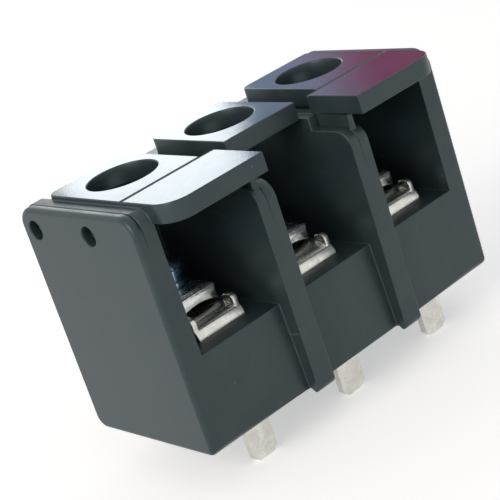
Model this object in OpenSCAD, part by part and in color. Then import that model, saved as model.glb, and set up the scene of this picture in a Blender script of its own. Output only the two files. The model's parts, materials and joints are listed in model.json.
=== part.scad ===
// Three-pole barrier terminal strip for printed circuit boards, in millimetres.
// X runs along the strip from its left end, the wires enter from the front at -Y, and Z is up.
// The origin is the middle of the underside, on the board's surface.

/* [Strip] */
// Distance from one pole to the next
pitch = 9.5; // [9:0.1:12]
// Depth of the housing, from its front wall to its back
housing_depth = 13.8; // [13.4:0.1:18]
// Height of the two end walls
end_wall_h = 18.2; // [17.8:0.1:21]

/* [Walls] */
// Thickness of one end plate
end_plate_t = 0.75; // [0.6:0.05:1.5]
// Thickness of an outer pole's own end wall, inside the end plate
end_wall_t = 1.1; // [0.9:0.05:1.3]
// Thickness of the barrier between two poles, half of it in each pole housing
barrier_t = 1.75; // [1.5:0.05:2.2]
// How far a barrier stands out in front of the front wall
barrier_reach = 1.3; // [0.6:0.1:2]
// Height of a barrier in front of the score line
barrier_h = 16.1; // [14:0.1:16.6]
// Radius of a barrier's top front corner
barrier_r = 2.5; // [1:0.1:3.5]
// How far a barrier's full height runs on in front of the score line
barrier_step = 0.5; // [0.3:0.1:1]
// Thickness of the front wall
front_wall_t = 1.8; // [1.2:0.1:2.4]
// Thickness of the back wall
back_wall_t = 2.4; // [2:0.1:3]
// Radius of the end walls' top corners
end_top_r = 1.4; // [0.5:0.1:2.5]
// Radius of the housing's lower back edge
back_edge_r = 1.0; // [0.3:0.1:1.5]
// Radius of the housing's lower front edge
front_edge_r = 0.5; // [0.2:0.1:1]
// Chamfer round the outer face of an end plate
end_chamfer = 0.3; // [0.1:0.05:0.5]

/* [Floor] */
// Height of the pocket floor and of the front wall
floor_h = 7.1; // [6.5:0.1:9]
// Thickness of the floor over the recess in the underside
floor_t = 2.6; // [2:0.1:3.2]
// Thickness of the rim round the recess in the underside
rim_t = 1.4; // [1:0.1:1.8]

/* [Roof] */
// Height of the roof's top face
roof_h = 18.55; // [18.3:0.05:21.4]
// Thickness of the roof tabs and flaps
roof_t = 1.45; // [1:0.05:1.6]
// Width of a roof tab
tab_w = 7.1; // [6.4:0.1:7.3]
// Length of a roof tab, from its back edge to the score line
tab_l = 8.9; // [8.4:0.1:10]
// Distance from the housing's back to the roof tabs' back edge
tab_setback = 1.9; // [1:0.1:2]
// Radius of a roof tab's back corners
tab_r = 0.8; // [0.3:0.1:1.4]
// Length of a flap, from the score line to its front edge
flap_l = 5.5; // [4.6:0.1:7]
// Radius of a flap's outer front corner
flap_r = 1.9; // [0.8:0.1:2.6]
// Depth of the score line between tab and flap
score_depth = 0.15; // [0.05:0.05:0.4]
// Thickness of the web under a flap's inner end
web_t = 0.5; // [0.3:0.05:0.8]
// Radius inside the corner of roof and back wall
roof_fillet = 1.0; // [0.4:0.1:1.1]

/* [Terminal] */
// Width of a terminal
terminal_w = 4.3; // [4:0.1:5.2]
// Thickness of the terminal's strip
terminal_t = 1.0; // [0.8:0.05:1.2]
// Outer radius of the bend at the terminal's front
bend_r = 1.15; // [1.1:0.05:1.4]
// Distance from the housing's back to the terminal plate's back edge
terminal_back = 2.55; // [2.5:0.05:3.2]
// Height of the wire ears above the terminal plate
ear_h = 0.6; // [0.3:0.05:0.9]
// Length of a wire ear
ear_l = 1.2; // [1:0.05:1.4]
// How far a wire ear starts in front of the plate, over the bend
ear_lead = 0.8; // [0.5:0.05:0.8]
// Thickness of a wire ear
ear_t = 0.45; // [0.3:0.05:0.7]
// Outer diameter of the drawn collar under the tapped hole
collar_d = 4.4; // [4:0.1:4.6]
// Length of the drawn collar
collar_l = 1.1; // [0.8:0.1:1.6]
// Width of a board pin
pin_w = 2.3; // [1.2:0.1:2.6]
// Thickness of a board pin
pin_t = 0.6; // [0.4:0.05:0.8]
// Length of a board pin below the housing
pin_l = 3.5; // [2.5:0.1:5]

/* [Screw] */
// Distance from the housing's back to the screws' axes
screw_back = 6.2; // [6:0.05:6.6]
// Nominal diameter of the screw's thread
screw_d = 3.0; // [2.5:0.1:3.2]
// Length of the screw under its head
screw_l = 8.0; // [6.5:0.1:9]
// Diameter of the screw's head
head_d = 4.1; // [3.8:0.1:4.5]
// Height of the screw's head
head_h = 1.5; // [1.2:0.05:2]
// Radius of the head's domed top
dome_r = 4.0; // [3.6:0.1:6]
// Width of one arm of the cross recess
recess_w = 0.6; // [0.4:0.05:0.8]
// Diameter of the cross recess at the top
recess_d = 2.4; // [2:0.1:2.8]
// Depth of the cross recess
recess_depth = 1.0; // [0.6:0.05:1.2]
// Outer diameter of the lock washer
washer_d = 4.1; // [3.8:0.1:4.4]
// Thickness of the lock washer
washer_t = 0.55; // [0.4:0.05:0.8]
// Width of the split in the lock washer
split_w = 0.4; // [0.2:0.05:0.6]
// How far the screw is backed out of its tight position
backed_out = 0.15; // [0.05:0.05:0.3]

/* [Clamp plate] */
// Width of the clamp plate, along the strip
clamp_w = 4.4; // [4:0.1:5.4]
// Depth of the clamp plate, from front to back
clamp_l = 7.2; // [6:0.1:7.2]
// Height of the clamp plate over its lower corners
clamp_h = 1.4; // [1.3:0.05:1.7]
// Height of the clamp plate's turned-down front and back edges
clamp_edge_h = 1.05; // [0.9:0.05:1.2]
// Radius of the clamp plate's bow across its width
clamp_bow_r = 6; // [5.5:0.25:8]
// Thickness of the clamp plate's sheet
clamp_t = 0.6; // [0.5:0.05:0.7]
// Outer radius of the clamp plate's turned-down edges
clamp_r = 0.75; // [0.75:0.05:0.9]
// Radius of the clamp plate's corners, seen from above
clamp_corner_r = 0.55; // [0.2:0.05:0.8]

/* [Pegs and holes] */
// Diameter of the round holes in the end plates
end_hole_d = 1.5; // [1:0.1:1.8]
// Depth of those holes beyond the end plate, in the end wall
end_hole_depth = 0.6; // [0.3:0.05:0.7]
// Height of those holes
end_hole_z = 16.55; // [15.8:0.05:16.6]
// Distance from the housing's back to the rear hole
end_hole_back = 1.65; // [1.5:0.05:2.4]
// Distance between the two holes
end_hole_gap = 6.6; // [4:0.1:9]
// Diameter of the pegs that line one pole housing up with the next
peg_d = 1.1; // [0.8:0.05:1.2]
// Length of such a peg
peg_l = 0.45; // [0.3:0.05:0.5]

/* [Fits] */
// Clearance on each side of the terminal's leg and pin in the housing
slot_clearance = 0.05; // [0.02:0.01:0.12]
// Radial clearance of the collar in the floor
collar_clearance = 0.15; // [0.1:0.05:0.3]
// Radial clearance of the thread in the tapped hole and the lock washer
thread_clearance = 0.05; // [0.02:0.01:0.09]
// Radial clearance of the screw in the clamp plate
clamp_clearance = 0.2; // [0.15:0.05:0.4]
// Radial clearance between the screw head and the driver hole above it
driver_clearance = 0.6; // [0.3:0.05:0.8]
// Clearance of a peg in its socket, all round and at its end
peg_clearance = 0.05; // [0.02:0.01:0.1]
// Running gap between the screw's head and the lock washer
head_gap = 0.02; // [0.01:0.01:0.05]

/* [Hidden] */
$fn = 48;
cut = 1;                // how far a cutting shape runs past the solid
half_pitch = pitch / 2;
half_barrier = barrier_t / 2;
front_y = -housing_depth / 2;
back_y = housing_depth / 2;
barrier_y = front_y - barrier_reach;
roof_z = roof_h - roof_t;
tab_back_y = back_y - tab_setback;
score_y = tab_back_y - tab_l;
flap_y = score_y - flap_l;
screw_y = back_y - screw_back;
inner_back_y = back_y - back_wall_t;
driver_hole_d = head_d + 2 * driver_clearance;

slot_y = front_y + front_wall_t;
lip_y = slot_y + slot_clearance;
plate_z = floor_h + terminal_t;
plate_back_y = back_y - terminal_back;
shoulder_z = 1.0;       // height of the leg's shoulders, where the slot narrows to the pin
tap_r = screw_d / 2 + thread_clearance;

clamp_z = plate_z + backed_out;
seat_h = 0.1;           // height of the bow pressed flat under the washer
washer_z = clamp_z + clamp_h;
head_z = washer_z + washer_t + head_gap;

recess_top_z = floor_h - floor_t;
recess_front_y = slot_y + terminal_t + 2 * slot_clearance + rim_t;
peg_r = peg_d / 2;
// Peg places, in the back wall and in the front wall
peg_places = [[back_y - back_wall_t / 2, (floor_h + roof_z) / 2], [front_y + front_wall_t / 2, floor_h / 2]];
end_holes = [[back_y - end_hole_back, end_hole_z], [back_y - end_hole_back - end_hole_gap, end_hole_z]];

// Middle of pole i, counted from 1 at the left
function pole_x(i) = (i - 2) * pitch;

// A flat shape drawn in Y and Z, extruded along X from x0 to x1
module along_x(x0, x1)
    translate([x0, 0, 0]) rotate([90, 0, 90]) linear_extrude(x1 - x0) children();

// A flat shape drawn in X and Z, extruded along Y from y0 to y1
module along_y(y0, y1)
    translate([0, y1, 0]) rotate([90, 0, 0]) linear_extrude(y1 - y0) children();

// Rectangle between two opposite corners
module box2(a, b) translate(a) square(b - a);

// What is cut away to round a corner at p; the solid lies at turn to turn + 90 degrees from it
module corner_cut(p, r, turn)
    translate(p) rotate(turn) difference() {
        translate([-cut, -cut]) square(r + cut);
        translate([r, r]) circle(r);
    }

// ---- housing ----

// Outline of an end wall and of an end plate, in Y and Z
module end_outline(inset = 0)
    difference() {
        box2([front_y + inset, inset], [back_y - inset, end_wall_h - inset]);
        corner_cut([front_y + inset, end_wall_h - inset], end_top_r, 270);
        corner_cut([back_y - inset, end_wall_h - inset], end_top_r, 180);
        corner_cut([back_y - inset, inset], back_edge_r, 90);
        corner_cut([front_y + inset, inset], front_edge_r, 0);
    }

// Outline of a barrier: level with the roof's underside at the back, lower and rounded in front
module barrier_outline()
    difference() {
        union() {
            box2([score_y - barrier_step, 0], [back_y, roof_z]);
            box2([barrier_y, 0], [score_y, barrier_h]);
        }
        corner_cut([barrier_y, barrier_h], barrier_r, 270);
        corner_cut([back_y, 0], back_edge_r, 90);
        corner_cut([barrier_y, 0], front_edge_r, 0);
    }

// Section of the floor, the front wall and the back wall, with a fillet under the roof
module body_section()
    difference() {
        union() {
            box2([front_y, 0], [back_y, floor_h]);
            box2([inner_back_y, 0], [back_y, roof_z]);
            difference() {
                box2([inner_back_y - roof_fillet, roof_z - roof_fillet], [inner_back_y + roof_fillet, roof_z]);
                translate([inner_back_y - roof_fillet, roof_z - roof_fillet]) circle(roof_fillet);
            }
        }
        corner_cut([back_y, 0], back_edge_r, 90);
        corner_cut([front_y, 0], front_edge_r, 0);
    }

// Roof tab of a pole, in plan, from its left edge to its right edge
module tab_outline(left, right)
    difference() {
        box2([left, score_y], [right, tab_back_y]);
        corner_cut([left, tab_back_y], tab_r, 270);
        corner_cut([right, tab_back_y], tab_r, 180);
    }

// Flap in front of the score line, in plan; its right end is on the joint with the next pole
module flap_outline(left)
    difference() {
        box2([left, flap_y], [half_pitch, score_y]);
        corner_cut([left, flap_y], flap_r, 0);
    }

// Web that stands on the barrier and carries the flap's inner end
module flap_web()
    along_x(half_pitch - web_t, half_pitch)
        box2([barrier_y + front_edge_r, barrier_h - front_edge_r / 2], [score_y, roof_z + roof_t / 2]);

// Slot that holds the terminal's leg, narrowed to the pin below the shoulders
module terminal_slot() {
    slot_w = terminal_w + 2 * slot_clearance;
    pin_slot_w = pin_w + 2 * slot_clearance;
    translate([-slot_w / 2, slot_y, shoulder_z])
        cube([slot_w, terminal_t + 2 * slot_clearance, floor_h]);
    translate([-pin_slot_w / 2, slot_y, -cut])
        cube([pin_slot_w, pin_t + 2 * slot_clearance, floor_h]);
}

// Recess in the underside, open to the hole for the terminal's collar
module underside_recess() {
    recess_w = pitch - 2 * rim_t;
    translate([-recess_w / 2, recess_front_y, -cut])
        cube([recess_w, inner_back_y - recess_front_y, recess_top_z + cut]);
    translate([0, screw_y, 0])
        cylinder(d = collar_d + 2 * collar_clearance, h = floor_h + cut);
}

// Pegs on one side of a housing and the sockets that take them on the other
module pegs(r, depth)
    for (p = peg_places) translate([0, p[0], p[1]]) rotate([0, 90, 0]) cylinder(r = r, h = depth);

// The two round holes of an end plate, cut along X from x0 to x1
module end_hole_pair(x0, x1)
    for (p = end_holes) translate([x0, p[0], p[1]]) rotate([0, 90, 0]) cylinder(d = end_hole_d, h = x1 - x0);

// One pole housing as the left-hand or the middle one, standing on its own pole's middle
module pole_shell(end_pole) {
    left = end_pole ? end_wall_t - half_pitch : -tab_w / 2;
    difference() {
        union() {
            along_x(-half_pitch, half_pitch) body_section();
            along_x(half_pitch - half_barrier, half_pitch) barrier_outline();
            if (end_pole) {
                along_x(-half_pitch, end_wall_t - half_pitch) end_outline();
                flap_web();
            } else {
                along_x(-half_pitch, half_barrier - half_pitch) barrier_outline();
            }
            translate([0, 0, roof_z]) linear_extrude(roof_t) {
                tab_outline(left, tab_w / 2);
                if (end_pole) flap_outline(left);
            }
        }
        translate([0, screw_y, roof_z - cut]) cylinder(d = driver_hole_d, h = roof_t + 2 * cut);
        if (end_pole) {
            along_x(-half_pitch - cut, half_pitch + cut)
                translate([score_y, roof_h]) rotate(45) square(score_depth * sqrt(2), center = true);
            end_hole_pair(-half_pitch - cut, end_hole_depth - half_pitch);
        }
        terminal_slot();
        underside_recess();
    }
}

module housing_color() color([0.16, 0.17, 0.18]) children();

module pole_housing_1() housing_color() translate([pole_x(1), 0, 0])
    difference() {
        union() {
            pole_shell(true);
            translate([half_pitch, 0, 0]) pegs(peg_r, peg_l);
        }
        translate([-half_pitch, 0, 0]) pegs(peg_r + peg_clearance, peg_l + peg_clearance);
    }

module pole_housing_2() housing_color() translate([pole_x(2), 0, 0])
    difference() {
        union() {
            pole_shell(false);
            translate([half_pitch, 0, 0]) pegs(peg_r, peg_l);
        }
        translate([-half_pitch, 0, 0]) pegs(peg_r + peg_clearance, peg_l + peg_clearance);
    }

module pole_housing_3() housing_color() translate([pole_x(3), 0, 0])
    difference() {
        union() {
            mirror([1, 0, 0]) pole_shell(true);
            translate([half_pitch, 0, 0]) pegs(peg_r, peg_l);
        }
        translate([-half_pitch, 0, 0]) pegs(peg_r + peg_clearance, peg_l + peg_clearance);
    }

// End plate with its outer face at x = 0 and its inner face at x = end_plate_t
module end_plate()
    difference() {
        hull() {
            along_x(0, end_chamfer / 2) end_outline(end_chamfer);
            along_x(end_chamfer, end_plate_t) end_outline();
        }
        end_hole_pair(-cut, end_plate_t + cut);
    }

module left_end_plate() housing_color()
    translate([pole_x(1) - half_pitch - end_plate_t, 0, 0]) {
        end_plate();
        translate([end_plate_t, 0, 0]) pegs(peg_r, peg_l);
    }

module right_end_plate() housing_color()
    translate([pole_x(3) + half_pitch, 0, 0])
        difference() {
            translate([end_plate_t, 0, 0]) mirror([1, 0, 0]) end_plate();
            pegs(peg_r + peg_clearance, peg_l + peg_clearance);
        }

// ---- metal pieces, each on its own pole's middle ----

// Side view of the terminal's strip: the plate, the bend and the leg down to its shoulders
module terminal_section() {
    box2([lip_y + bend_r, floor_h], [plate_back_y, plate_z]);
    box2([lip_y, shoulder_z], [lip_y + terminal_t, plate_z - bend_r]);
    intersection() {
        box2([lip_y, plate_z - bend_r], [lip_y + bend_r, plate_z]);
        translate([lip_y + bend_r, plate_z - bend_r])
            difference() {
                circle(bend_r);
                circle(bend_r - terminal_t);
            }
    }
}

// Ears turned up at both edges of the plate, starting over the bend
module wire_ears() {
    ear_y = lip_y + bend_r - ear_lead;
    for (side = [-1, 1])
        translate([side * (terminal_w - ear_t) / 2, 0, 0])
            along_x(-ear_t / 2, ear_t / 2)
                difference() {
                    box2([ear_y, plate_z - terminal_t / 2], [ear_y + ear_l, plate_z + ear_h]);
                    corner_cut([ear_y, plate_z + ear_h], ear_h * 0.75, 270);
                    corner_cut([ear_y + ear_l, plate_z + ear_h], ear_h * 0.75, 180);
                }
}

// Board pin with a chamfered tip, front face level with the leg's
module board_pin() {
    tip = pin_t * 0.75;
    along_y(lip_y, lip_y + pin_t)
        polygon([[-pin_w / 2, shoulder_z + cut / 2], [pin_w / 2, shoulder_z + cut / 2],
                 [pin_w / 2, tip - pin_l], [pin_w / 2 - tip, -pin_l],
                 [tip - pin_w / 2, -pin_l], [-pin_w / 2, tip - pin_l]]);
}

module terminal(i) color([0.86, 0.86, 0.82]) translate([pole_x(i), 0, 0])
    difference() {
        union() {
            along_x(-terminal_w / 2, terminal_w / 2) terminal_section();
            wire_ears();
            board_pin();
            translate([0, screw_y, floor_h - collar_l]) cylinder(d = collar_d, h = collar_l + terminal_t / 2);
        }
        translate([0, screw_y, floor_h - collar_l - cut]) cylinder(r = tap_r, h = collar_l + terminal_t + 2 * cut);
    }

// Disc in X and Z, on the middle of the clamp plate's bow, lying depth below the plate's top
module bow_disc(depth)
    translate([0, clamp_h + seat_h - clamp_bow_r]) circle(clamp_bow_r - seat_h - depth, $fn = 2 * $fn);

// Clamp plate: sheet bowed over its width, with its front and back edges turned down
module clamp_plate(i) color([0.82, 0.83, 0.8]) translate([pole_x(i), screw_y, clamp_z])
    difference() {
        intersection() {
            along_x(-clamp_w / 2, clamp_w / 2)
                difference() {
                    box2([-clamp_l / 2, 0], [clamp_l / 2, clamp_h]);
                    corner_cut([-clamp_l / 2, clamp_h], clamp_r, 270);
                    corner_cut([clamp_l / 2, clamp_h], clamp_r, 180);
                }
            along_y(-clamp_l / 2, clamp_l / 2) bow_disc(-seat_h);
            linear_extrude(clamp_h)
                difference() {
                    box2([-clamp_w / 2, -clamp_l / 2], [clamp_w / 2, clamp_l / 2]);
                    for (c = [[-1, -1, 0], [1, -1, 90], [1, 1, 180], [-1, 1, 270]])
                        corner_cut([c[0] * clamp_w / 2, c[1] * clamp_l / 2], clamp_corner_r, c[2]);
                }
        }
        along_y(-clamp_l, clamp_l) bow_disc(clamp_edge_h);
        along_y(clamp_t - clamp_l / 2, clamp_l / 2 - clamp_t) bow_disc(clamp_t);
        cylinder(r = screw_d / 2 + clamp_clearance, h = clamp_h + cut);
    }

// Spring lock washer with a slanted split
module lock_washer(i) color([0.6, 0.66, 0.72]) translate([pole_x(i), screw_y, washer_z])
    difference() {
        cylinder(d = washer_d, h = washer_t);
        translate([0, 0, -cut]) cylinder(r = tap_r, h = washer_t + 2 * cut);
        rotate(215) translate([washer_d / 2, 0, washer_t / 2]) rotate([25, 0, 0])
            cube([washer_d, split_w, 4 * washer_t], center = true);
    }

// Cross recess: two crossed arms, cut to a cone
module cross_recess()
    intersection() {
        translate([0, 0, -recess_depth])
            cylinder(d1 = recess_w, d2 = recess_d + recess_w, h = recess_depth + head_h / 4);
        for (turn = [0, 90])
            rotate(turn) cube([2 * recess_d, recess_w, 4 * recess_depth], center = true);
    }

// Pan head screw, drawn from the underside of its head
module screw(i) color([0.5, 0.6, 0.68]) translate([pole_x(i), screw_y, head_z])
    difference() {
        union() {
            rotate_extrude()
                intersection() {
                    square([head_d / 2, head_h]);
                    translate([0, head_h - dome_r]) circle(dome_r);
                }
            translate([0, 0, -screw_l]) {
                translate([0, 0, screw_d / 8]) cylinder(d = screw_d, h = screw_l);
                cylinder(d1 = screw_d * 0.75, d2 = screw_d, h = screw_d / 8);
            }
        }
        translate([0, 0, head_h]) cross_recess();
    }

module terminal_1() terminal(1);
module terminal_2() terminal(2);
module terminal_3() terminal(3);
module clamp_plate_1() clamp_plate(1);
module clamp_plate_2() clamp_plate(2);
module clamp_plate_3() clamp_plate(3);
module lock_washer_1() lock_washer(1);
module lock_washer_2() lock_washer(2);
module lock_washer_3() lock_washer(3);
module screw_1() screw(1);
module screw_2() screw(2);
module screw_3() screw(3);

left_end_plate();
right_end_plate();
pole_housing_1();
pole_housing_2();
pole_housing_3();
terminal_1();
terminal_2();
terminal_3();
clamp_plate_1();
clamp_plate_2();
clamp_plate_3();
lock_washer_1();
lock_washer_2();
lock_washer_3();
screw_1();
screw_2();
screw_3();
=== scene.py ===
"""Looks of a three-pole barrier terminal strip, built round its CAD frame."""

import json
import math

import bmesh
import bpy
from mathutils import Matrix, Vector


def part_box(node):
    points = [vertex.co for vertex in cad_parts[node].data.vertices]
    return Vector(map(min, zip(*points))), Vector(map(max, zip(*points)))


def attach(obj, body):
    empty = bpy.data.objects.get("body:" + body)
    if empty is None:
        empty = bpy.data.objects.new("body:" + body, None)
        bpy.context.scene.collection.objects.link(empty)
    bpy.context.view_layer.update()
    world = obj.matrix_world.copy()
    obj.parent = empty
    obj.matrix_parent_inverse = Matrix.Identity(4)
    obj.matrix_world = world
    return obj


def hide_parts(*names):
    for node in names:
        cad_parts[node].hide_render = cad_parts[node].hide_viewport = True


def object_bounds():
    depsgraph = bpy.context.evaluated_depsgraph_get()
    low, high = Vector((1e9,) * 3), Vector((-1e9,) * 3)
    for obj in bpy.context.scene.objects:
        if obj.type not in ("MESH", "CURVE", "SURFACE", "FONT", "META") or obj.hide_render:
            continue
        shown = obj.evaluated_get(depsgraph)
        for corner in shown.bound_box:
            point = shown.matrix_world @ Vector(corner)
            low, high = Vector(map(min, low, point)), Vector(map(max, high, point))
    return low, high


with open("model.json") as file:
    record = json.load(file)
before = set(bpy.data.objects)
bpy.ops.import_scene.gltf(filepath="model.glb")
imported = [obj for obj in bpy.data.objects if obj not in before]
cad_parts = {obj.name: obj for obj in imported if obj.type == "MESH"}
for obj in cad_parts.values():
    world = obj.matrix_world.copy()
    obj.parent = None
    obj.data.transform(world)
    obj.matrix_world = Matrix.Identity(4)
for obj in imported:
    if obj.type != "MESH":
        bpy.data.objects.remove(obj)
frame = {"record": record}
cad_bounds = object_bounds()

bl_info = {
    "name": "Barrier Terminal Strip",
    "version": (1, 0, 0),
    "blender": (4, 5, 0),
    "location": "3D View > Sidebar > Terminal Strip",
    "description": "Moulded pole housings, clamp screws and board pins of a barrier terminal strip",
    "category": "Add Mesh",
}

mm = 0.001
TOUCH = 0.002 * mm
AXES = {"x": Vector((1, 0, 0)), "y": Vector((0, 1, 0)), "z": Vector((0, 0, 1))}
UP, DOWN = Vector((0, 0, 1)), Vector((0, 0, -1))
FRONT, BACK = Vector((0, -1, 0)), Vector((0, 1, 0))
LEFT, RIGHT = Vector((-1, 0, 0)), Vector((1, 0, 0))
OVERCUT = 1 * mm  # how far a cutter reaches past what it cuts
PEG = 0.45 * mm  # how far the hidden pegs reach into the next moulding
BARRIER_REACH = 1.3 * mm  # how far a barrier stands in front of the front wall
SHOULDER = 1 * mm  # height of a terminal leg's shoulders, where the slot narrows to the pin
SLOT_GAP = 0.05 * mm
THREAD_GAP = 0.05 * mm
COLLAR_GAP = 0.15 * mm
CLAMP_GAP = 0.2 * mm
WAFER = 0.01 * mm  # thickness of a slice that is swept round an axis

# Corners of the CAD nodes that the sizes start from
plate_low, plate_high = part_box("left_end_plate")
shell_low, shell_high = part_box("pole_housing_2")
terminal_low, terminal_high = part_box("terminal_2")
clamp_low, clamp_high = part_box("clamp_plate_2")
washer_low, washer_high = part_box("lock_washer_2")
screw_low, screw_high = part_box("screw_2")
HALF_PITCH = (shell_high.x - shell_low.x - PEG) / 2


def length(name, description, default):
    """A length that the panel shows in the scene's units."""
    return bpy.props.FloatProperty(
        name=name, description=description, default=default, min=0.0, precision=3,
        subtype="DISTANCE", unit="LENGTH",
    )


def share(name, description, default):
    """A number from 0 to 1."""
    return bpy.props.FloatProperty(
        name=name, description=description, default=default, min=0.0, max=1.0, subtype="FACTOR"
    )


def paint(name, description, default):
    """A linear colour."""
    return bpy.props.FloatVectorProperty(
        name=name, description=description, default=default, size=3, min=0.0, max=1.0, subtype="COLOR"
    )


class StripHousingSizes(bpy.types.PropertyGroup):
    """Sizes of the moulded black pieces."""

    peg: length("Peg", "How far the hidden pegs reach into the next moulding", PEG)
    floor_height: length("Floor Height", "Height of the pocket floor and the front wall", 7.1 * mm)
    wall_height: length("End Wall Height", "Height of the end walls", plate_high.z)
    wall: length("End Wall", "Thickness of an outer pole's end wall inside the end plate", 1.1 * mm)
    barrier: length("Barrier", "Thickness of the barrier between two poles", 1.75 * mm)
    barrier_height: length("Barrier Height", "Height of a barrier in front of the score line", 16.1 * mm)
    barrier_radius: length("Barrier Radius", "Radius of a barrier's top front corner", 2.5 * mm)
    barrier_step: length("Barrier Step", "How far a barrier's full height passes the score line", 0.5 * mm)
    back_wall: length("Back Wall", "Thickness of the back wall", 2.4 * mm)
    front_wall: length("Front Wall", "Thickness of the front wall", 1.8 * mm)
    floor: length("Floor", "Thickness of the floor over the recess in the underside", 2.6 * mm)
    rim: length("Rim", "Thickness of the rim round the recess in the underside", 1.4 * mm)
    roof: length("Roof", "Thickness of the roof tabs and flaps", 1.45 * mm)
    tab_width: length("Tab Width", "Width of a roof tab", 7.1 * mm)
    tab_setback: length("Tab Setback", "Distance from the housing's back to a tab", 1.9 * mm)
    tab_length: length("Tab Length", "Length of a roof tab behind the score line", 8.9 * mm)
    tab_radius: length("Tab Radius", "Radius of a tab's back corners", 0.8 * mm)
    flap_length: length("Flap Length", "Length of a flap in front of the score line", 5.5 * mm)
    flap_radius: length("Flap Radius", "Radius of a flap's outer front corner", 1.9 * mm)
    web: length("Web", "Thickness of the web under a flap's inner end", 0.5 * mm)
    score: length("Score", "Depth of the score line", 0.15 * mm)
    driver_hole: length("Driver Hole", "Diameter of the hole over a screw", 5.3 * mm)
    end_radius: length("End Radius", "Radius of the end walls' top corners", 1.4 * mm)
    back_radius: length("Back Radius", "Radius of the lower back edge", 1.0 * mm)
    foot_radius: length("Foot Radius", "Radius of the lower front edge", 0.5 * mm)
    soft_rim: length("Soft Rim", "Rounding round the outer face of an end plate", 0.35 * mm)
    edge: length("Edge", "Width of the moulded pieces' small edge rounding", 0.09 * mm)
    end_hole: length("End Hole", "Diameter of the round holes in the end plates", 1.5 * mm)


class StripMetalSizes(bpy.types.PropertyGroup):
    """Sizes of the terminals, clamp plates, washers and screws."""

    terminal: length("Terminal", "Thickness of a terminal's strip", 1.0 * mm)
    bend: length("Bend", "Outer radius of the bend at a terminal's front", 1.15 * mm)
    ear_height: length("Ear Height", "Height of the wire ears over the plate", 0.6 * mm)
    ear_length: length("Ear Length", "Length of a wire ear", 1.2 * mm)
    ear_lead: length("Ear Lead", "How far a wire ear starts in front of the plate, over the bend", 0.8 * mm)
    ear: length("Ear", "Thickness of a wire ear", 0.45 * mm)
    collar: length("Collar", "Diameter of the drawn collar round the tapped hole", 4.4 * mm)
    pin_width: length("Pin Width", "Width of a board pin", 2.3 * mm)
    pin: length("Pin", "Thickness of a board pin", 0.6 * mm)
    clamp: length("Clamp Sheet", "Thickness of the clamp plate's sheet", 0.6 * mm)
    clamp_edge: length("Clamp Edge", "Height of the clamp plate's turned-down edges", 1.05 * mm)
    clamp_bend: length("Clamp Bend", "Outer radius of the clamp plate's turned-down edges", 0.75 * mm)
    clamp_bow: length("Clamp Bow", "Radius of the clamp plate's bow across its width", 6.0 * mm)
    clamp_corner: length("Clamp Corner", "Radius of the clamp plate's corners", 0.55 * mm)
    thread: length("Thread", "Diameter of the screw's thread", 3.0 * mm)
    lead: length("Thread Pitch", "Distance from one thread to the next", 0.5 * mm)
    head: length("Head", "Height of the screw's head", 1.5 * mm)
    dome: length("Dome", "Radius of the head's domed top", 4.0 * mm)
    recess: length("Recess", "Depth of the cross recess", 1.0 * mm)
    recess_width: length("Recess Width", "Width of one arm of the cross recess", 0.6 * mm)
    recess_span: length("Recess Span", "Diameter of the cross recess at the top", 2.4 * mm)
    split: length("Split", "Width of the split in a lock washer", 0.4 * mm)


class StripFinishes(bpy.types.PropertyGroup):
    """Colours of the pieces, their scuffs, and their worn edges with a painted highlight."""

    plastic: paint("Plastic", "Colour of the moulded black plastic", (0.022, 0.036, 0.043))
    plastic_pale: paint("Plastic Haze", "Colour of the paler haze on the plastic", (0.048, 0.062, 0.066))
    # Paler edge colour: partly rubbed wear, partly a painted highlight along the rounded edges
    rubbed: paint("Rubbed Edge", "Colour of the plastic's rubbed edges", (0.115, 0.130, 0.140))
    tin: paint("Tin", "Colour of the tinned terminals", (0.80, 0.80, 0.75))
    nickel: paint("Nickel", "Colour of the clamp plates", (0.74, 0.76, 0.74))
    zinc: paint("Zinc", "Colour of the blue zinc plate", (0.36, 0.52, 0.62))
    satin: share("Satin", "Roughness of the plastic", 0.36)
    scuffs: share("Scuffs", "Strength of the hair scratches on the plastic", 0.35)


class StripStage(bpy.types.PropertyGroup):
    """Floor, lamps and camera."""

    floor: paint("Floor", "Colour of the floor", (0.86, 0.86, 0.86))
    lens: bpy.props.FloatProperty(
        name="Lens", description="Focal length of the camera", default=115.19, min=20.0,
        subtype="DISTANCE_CAMERA",
    )
    key: bpy.props.FloatProperty(
        name="Key Lamp", description="Power of the lamp at the left", default=0.75, min=0.0, unit="POWER"
    )
    window: bpy.props.FloatProperty(
        name="Window Lamp", description="Power of the soft lamp behind the strip", default=0.133, min=0.0,
        unit="POWER",
    )
    sky: share("Sky", "Strength of the even light from all sides", 0.45)


# ---- modelling helpers ----


def object_mode():
    if bpy.context.object is not None and bpy.context.object.mode != "OBJECT":
        bpy.ops.object.mode_set(mode="OBJECT")


def only(obj):
    """Leaves obj alone selected and active, in object mode."""
    object_mode()
    for other in bpy.context.selected_objects:
        other.select_set(False)
    obj.select_set(True)
    bpy.context.view_layer.objects.active = obj
    return obj


def clear_selection():
    object_mode()
    for other in bpy.context.selected_objects:
        other.select_set(False)


def named(name):
    """The new primitive, with its place and size applied to its mesh."""
    obj = bpy.context.active_object
    obj.name = name
    obj.data.name = name
    bpy.ops.object.transform_apply(location=True, rotation=True, scale=True)
    return obj


def block(name, a, b):
    """A cube primitive stretched between two opposite corners."""
    clear_selection()
    low = Vector(min(p, q) for p, q in zip(a, b))
    high = Vector(max(p, q) for p, q in zip(a, b))
    bpy.ops.mesh.primitive_cube_add(size=1, location=(low + high) / 2, scale=high - low)
    return named(name)


def rod(name, radius, start, end, sides=64, tip=None):
    """A cylinder or cone primitive that runs from start to end."""
    clear_selection()
    start, end = Vector(start), Vector(end)
    way = end - start
    bpy.ops.mesh.primitive_cone_add(
        vertices=sides, radius1=radius, radius2=radius if tip is None else tip, depth=way.length,
        location=(start + end) / 2, rotation=way.to_track_quat("Z", "Y").to_euler(),
    )
    return named(name)


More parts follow.
